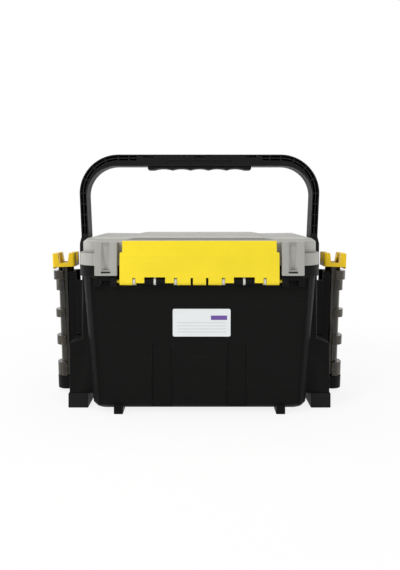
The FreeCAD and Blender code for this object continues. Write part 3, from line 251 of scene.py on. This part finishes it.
def moulded_plastic(name, colour, roughness, grain, shine=0.5, wear_and_highlight=0.5, edge_wear_and_highlight_paleness=0.035):
    """Moulded plastic: clouds in the tint, smudges in the gloss, rubbed streaks, edges paled by wear and a
    painted highlight, and painted shade in hollows.
    """
    material, plastic = new_finish(name)
    place = plastic.place()
    cloud = plastic.noise(place, CLOUD_SCALE, detail=3)
    smudge = plastic.noise(place, SMUDGE_SCALE, detail=4)
    speck = plastic.noise(place, SPECK_SCALE, detail=2)
    streak = plastic.noise(plastic.stretched(STREAK_SCALES, STREAK_TURN), scale=1, detail=3)
    rubbed = plastic.ramp(streak, STREAK_START, STREAK_FULL, 0, wear_and_highlight)
    # Painted shade: the plastic is darkened in hollows and recesses, where less light reaches.
    open_sky = openness(plastic, PAINTED_SHADE_REACH, inside=False)
    # Edges are paled by wear and by a painted highlight, the light that round edges catch.
    edge = plastic.ramp(openness(plastic, EDGE_REACH, inside=True), EDGE_FULL, EDGE_START, wear_and_highlight, 0)
    tint = plastic.blend(cloud, shaded(colour, CLOUD_DARK), shaded(colour, CLOUD_PALE))
    painted_shade_tint = plastic.blend(open_sky * open_sky, shaded(colour, PAINTED_SHADE_DARK), tint)
    rubbed_tint = plastic.blend(rubbed, painted_shade_tint, wear_and_highlight_shade(colour, STREAK_PALENESS))
    worn_and_highlit_tint = plastic.blend(edge, rubbed_tint, wear_and_highlight_shade(colour, edge_wear_and_highlight_paleness))
    bump = plastic.node("ShaderNodeBump", {}, {"Strength": grain, "Distance": GRAIN_DEPTH, "Height": speck})
    gloss = smudge * SMUDGE_ROUGHNESS + rubbed * STREAK_ROUGHNESS + (roughness - SMUDGE_ROUGHNESS / 2)
    plastic.show(plastic.node("ShaderNodeBsdfPrincipled", {}, {
        "Base Color": worn_and_highlit_tint, "Normal": bump, "Specular IOR Level": shine, "Roughness": gloss}))
    return material


SAME_POINT = 0.000005
FLAT_DEGREES = 0.5
SHARP_DEGREES = 20
FACET_DEGREES = 3
SHADE_DEGREES = 42
BROAD_FACE = 0.0006
ROOM_FOR_ROUND = 2.8
FOLD_REACH = 4
SAME_LEVEL = 0.00005
TINY = 1e-9
ATTEMPTS = 18
GENTLE_ATTEMPTS = 10
node_body = {node: body for body, nodes in frame["record"]["behaviour"]["bodies"].items() for node in nodes}


def merged(node):
    """A copy of a solid with its triangles joined into whole faces."""
    shape = bmesh.new()
    shape.from_mesh(frame["nodes"][node].data)
    bmesh.ops.remove_doubles(shape, verts=shape.verts[:], dist=SAME_POINT)
    bmesh.ops.dissolve_limit(shape, angle_limit=math.radians(FLAT_DEGREES), verts=shape.verts[:],
                             edges=shape.edges[:])
    shape.edges.index_update()
    return shape


def round_off(shape, edges, radius, segments):
    bmesh.ops.bevel(shape, geom=edges, offset=radius, offset_type="OFFSET", segments=segments, profile=0.5,
                    affect="EDGES", clamp_overlap=False, material=-1)


def crisp_edges(shape, radius, sharp):
    """The edges that a round has room on, shortest first, without those that are to stay sharp."""
    crisp = []
    for edge in shape.edges:
        if len(edge.link_faces) != 2:
            continue
        broad = min(face.calc_area() for face in edge.link_faces) > BROAD_FACE
        least_turn = FACET_DEGREES if broad else SHARP_DEGREES
        if edge.calc_face_angle() < math.radians(least_turn):
            continue
        beside = [near.calc_length() for corner in edge.verts for near in corner.link_edges]
        if edge.index not in sharp and min(beside) > radius * ROOM_FOR_ROUND:
            crisp.append(edge)
    return sorted(crisp, key=lambda edge: edge.calc_length())


def crossings(face):
    """The places where the outline of a face crosses itself."""
    places = []
    across = max(range(3), key=lambda axis: abs(face.normal[axis]))
    corners = [corner.co for corner in face.verts]
    flat = [Vector([part for axis, part in enumerate(corner) if axis != across]) for corner in corners]
    count = len(corners)
    for first in range(count - 2):
        for second in range(first + 2, count - (first == 0)):
            start, end = flat[first], flat[first + 1]
            hit = intersect_line_line_2d(start, end, flat[second], flat[(second + 1) % count])
            if hit:
                share = (hit - start).length / max((end - start).length, TINY)
                places.append(corners[first].lerp(corners[first + 1], share))
    return places


def edges_at_fold(runs, upright, place, reach, in_plane):
    """The edges that pass within reach of a fold and, if asked, those in the plane of the folded face."""
    close = []
    for index, start, end in runs:
        share = min(max(intersect_point_line(place, start, end)[1], 0), 1)
        level = max(abs(upright.dot(start - place)), abs(upright.dot(end - place)))
        near = (place - start.lerp(end, share)).length < reach
        if near or (in_plane and level < SAME_LEVEL):
            close.append(index)
    return close


def softened(node, radius):
    """A copy of a solid with round edges. An edge stays sharp where its round would fold a face."""
    sharp = set()
    solid = merged(node)
    for attempt in range(ATTEMPTS):
        shape = solid.copy()
        crisp = crisp_edges(shape, radius, sharp)
        runs = [(edge.index, edge.verts[0].co.copy(), edge.verts[1].co.copy()) for edge in crisp]
        round_off(shape, crisp, radius, segments=2)
        folds = [(face.normal.copy(), place) for face in shape.faces for place in crossings(face)]
        if not folds or attempt == ATTEMPTS - 1:
            solid.free()
            return shape
        shape.free()
        gentle = attempt < GENTLE_ATTEMPTS
        for upright, place in folds:
            close = edges_at_fold(runs, upright, place, radius * FOLD_REACH, not gentle)
            sharp.update(close[:1] if gentle else close)


def stand_in(node, shape, material):
    """Make a piece of the shape, in the place of the solid that it stands for."""
    mesh = bpy.data.meshes.new(node + "_moulding")
    shape.to_mesh(mesh)
    shape.free()
    mesh.polygons.foreach_set("use_smooth", [True] * len(mesh.polygons))
    mesh.set_sharp_from_angle(angle=math.radians(SHADE_DEGREES))
    mesh.materials.append(material)
    piece = bpy.data.objects.new(node + "_moulding", mesh)
    scene.collection.objects.link(piece)
    piece.modifiers.new("even_shading", "WEIGHTED_NORMAL").keep_sharp = True
    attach(piece, node_body[node])
    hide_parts(node)


def dress(node, material, radius):
    """Stand a copy of a solid with round edges in its place."""
    stand_in(node, softened(node, radius), material)


# The strong edge paleness paints a highlight along the tub's edges, on top of wear.
tub_black = moulded_plastic("tub_black", colour=(0.0074, 0.0074, 0.0071), roughness=0.42, grain=0.25,
                            shine=0.05, edge_wear_and_highlight_paleness=0.14)
dress("body_shell", tub_black, radius=0.0012)

# Feet: four block feet of harder black rubber under the corners of the tub. Plugs on their upper sides
# are pressed up into the hollow pylons.
foot_black = moulded_plastic("foot_black", colour=(0.0105, 0.0105, 0.0105), roughness=0.6, grain=0.4,
                             shine=0.12)
dress("corner_feet", foot_black, radius=0.0016)

# Lid: a pale grey moulding in two tiers with a low raised panel, a sloping rear and two front blocks with
# thumb grooves. It is the same plastic as the tub, in a satin finish.
lid_grey = moulded_plastic("lid_grey", colour=(0.405, 0.4, 0.368), roughness=0.48, grain=0.18, shine=0.3)
dress("lid_shell", lid_grey, radius=0.0013)

# Latch: a wide yellow flap of tougher, glossier plastic on a hinge line along the rim. Its teeth mesh with
# the fins of two pale strips on the rim, and steel rods run through both.
SIDES = ("left", "right")
latch_yellow = moulded_plastic("latch_yellow", colour=(0.98, 0.76, 0.022), roughness=0.34, grain=0.08,
                               shine=0.3)
dress("latch_flap", latch_yellow, radius=0.0008)
strip_pale = moulded_plastic("strip_pale", colour=(0.66, 0.65, 0.61), roughness=0.45, grain=0.1)
for side in SIDES:
    dress("latch_hinge_strip_" + side, strip_pale, radius=0.0004)

# Pins and screws: plain drawn steel with faint lines along it. The pins and rods are pushed into bores
# along the hinge lines, and the screws hold the clear tubes to their brackets.
STEEL_COLOUR = (0.56, 0.56, 0.57, 1)
STEEL_ROUGHNESS = 0.22
LINE_ROUGHNESS = 0.2
LINE_SCALES = (40, 2500, 2500)
pin_steel, steel = new_finish("pin_steel")
lines = steel.noise(steel.stretched(LINE_SCALES), scale=1, detail=2)
steel.show(steel.node("ShaderNodeBsdfPrincipled", {}, {
    "Base Color": STEEL_COLOUR, "Metallic": 1, "Roughness": lines * LINE_ROUGHNESS + STEEL_ROUGHNESS}))
for side in SIDES:
    for node in ("lid_hinge_pin_", "latch_rod_", "stand_screws_"):
        dress(node + side, pin_steel, radius=0.0004)

# Handle: a black bail of stiff satin plastic, ribbed on both faces, that turns on two hubs at the box's
# sides. A softer grip with finger scallops is held in the bar by a tongue, from below.
# The strong edge paleness paints a highlight along the handle's ribs and edges, on top of wear.
handle_black = moulded_plastic("handle_black", colour=(0.0138, 0.0136, 0.0138), roughness=0.42, grain=0.15,
                               shine=0.04, edge_wear_and_highlight_paleness=0.14)
dress("handle_frame", handle_black, radius=0.0006)
for side in SIDES:
    dress("handle_hub_" + side, handle_black, radius=0.0008)
grip_rubber = moulded_plastic("grip_rubber", colour=(0.005, 0.005, 0.005), roughness=0.68, grain=0.5,
                              shine=0.12)
dress("handle_grip", grip_rubber, radius=0.0012)

# Tray: a dark grey moulded tray that rests on ledges in the tub and lifts out. Thin dividers of the same
# plastic slide down in its grooves.
tray_grey = moulded_plastic("tray_grey", colour=(0.08, 0.08, 0.085), roughness=0.46, grain=0.15)
for node in ("inner_tray", "tray_divider_1", "tray_divider_2", "tray_divider_3", "tray_divider_4"):
    dress(node, tray_grey, radius=0.0005)

# Rod stands: a smoke-tinted clear tube in a black cup, held by two screws to a black bracket whose tongue
# drops into the tub's side. On the tube sits a yellow block crown with a trough for a rod.
SMOKE_DARK = (0.022, 0.017, 0.009, 1)
SMOKE_PAINTED_HIGHLIGHT = (0.13, 0.106, 0.064, 1)
SMOKE_ROUGHNESS = 0.06
PAINTED_STREAK_ROUGHNESS = 0.12
PAINTED_STREAK_SCALES = (150, 150, 7)
PAINTED_STREAK_START = 0.42
PAINTED_STREAK_FULL = 0.66
CLEARNESS = 0.85
CLEAR_PLASTIC_IOR = 1.45
tube_smoke, smoke = new_finish("tube_smoke")
# Pale streaks drawn out along the tube are painted highlights, standing for the light that its curved clear
# wall bends.
streak_noise = smoke.noise(smoke.stretched(PAINTED_STREAK_SCALES), scale=1, detail=3)
painted_streak = smoke.ramp(streak_noise, PAINTED_STREAK_START, PAINTED_STREAK_FULL, 0, 1)
smoke.show(smoke.node("ShaderNodeBsdfPrincipled", {}, {
    "Base Color": smoke.blend(painted_streak, SMOKE_DARK, SMOKE_PAINTED_HIGHLIGHT),
    "Roughness": painted_streak * PAINTED_STREAK_ROUGHNESS + SMOKE_ROUGHNESS,
    "Transmission Weight": CLEARNESS, "IOR": CLEAR_PLASTIC_IOR}))
crown_yellow = moulded_plastic("crown_yellow", colour=(0.9, 0.6, 0.01), roughness=0.36, grain=0.08, shine=0.3)
stand_black = moulded_plastic("stand_black", colour=(0.006, 0.006, 0.0063), roughness=0.42, grain=0.18,
                              shine=0.06)
for side in SIDES:
    dress("rod_tube_" + side, tube_smoke, radius=0.0006)
    dress("rod_crown_" + side, crown_yellow, radius=0.0005)
    dress("rod_cup_" + side, stand_black, radius=0.0014)
    dress("rod_bracket_" + side, stand_black, radius=0.0006)

# Label: a thin white vinyl sticker with round corners, pressed onto the front panel. It is printed with a
# plain violet band and pale ruled lines for handwriting. Places on it are shares of its width and height.
LABEL_CORNER = 0.0025
BAND_WIDTH_SHARES = (0.66, 0.94)
BAND_HEIGHT_SHARES = (0.6, 0.76)
RULED_WIDTH_SHARES = (0.08, 0.92)
RULED_HEIGHT_SHARES = (0.08, 0.52)
RULED_ROWS = 9
RULED_LINE_SHARES = (0.42, 0.55)
VINYL_WHITE = (0.86, 0.885, 0.9, 1)
RULED_GREY = (0.5, 0.51, 0.53, 1)
BAND_VIOLET = (0.155, 0.07, 0.35, 1)
VINYL_ROUGHNESS = 0.32
label_white, vinyl = new_finish("label_white")
label_low, label_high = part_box("front_label")


def label_share(axis, low, high):
    """How far along the label a point lies, from zero at its low end to one at its high end."""
    spot = vinyl.node("ShaderNodeSeparateXYZ", {}, {"Vector": vinyl.place()}, axis)
    return (spot - low) * (1 / (high - low))


def between(value, limits):
    """One where a value lies between two limits, else zero."""
    low, high = limits
    return value.maths("GREATER_THAN", value, low) * value.maths("LESS_THAN", value, high)


across = label_share("X", label_low.x, label_high.x)
up = label_share("Z", label_low.z, label_high.z)
band = between(across, BAND_WIDTH_SHARES) * between(up, BAND_HEIGHT_SHARES)
ruled = between(up.maths("FRACT", up * RULED_ROWS, 0), RULED_LINE_SHARES)
ruled = ruled * between(across, RULED_WIDTH_SHARES) * between(up, RULED_HEIGHT_SHARES)
print_tint = vinyl.blend(band, vinyl.blend(ruled, VINYL_WHITE, RULED_GREY), BAND_VIOLET)
vinyl.show(vinyl.node("ShaderNodeBsdfPrincipled", {}, {
    "Base Color": print_tint, "Roughness": VINYL_ROUGHNESS}))
sticker = merged("front_label")
corners = [edge for edge in sticker.edges if edge.calc_length() < LABEL_CORNER]
round_off(sticker, corners, LABEL_CORNER, segments=4)
stand_in("front_label", sticker, label_white)
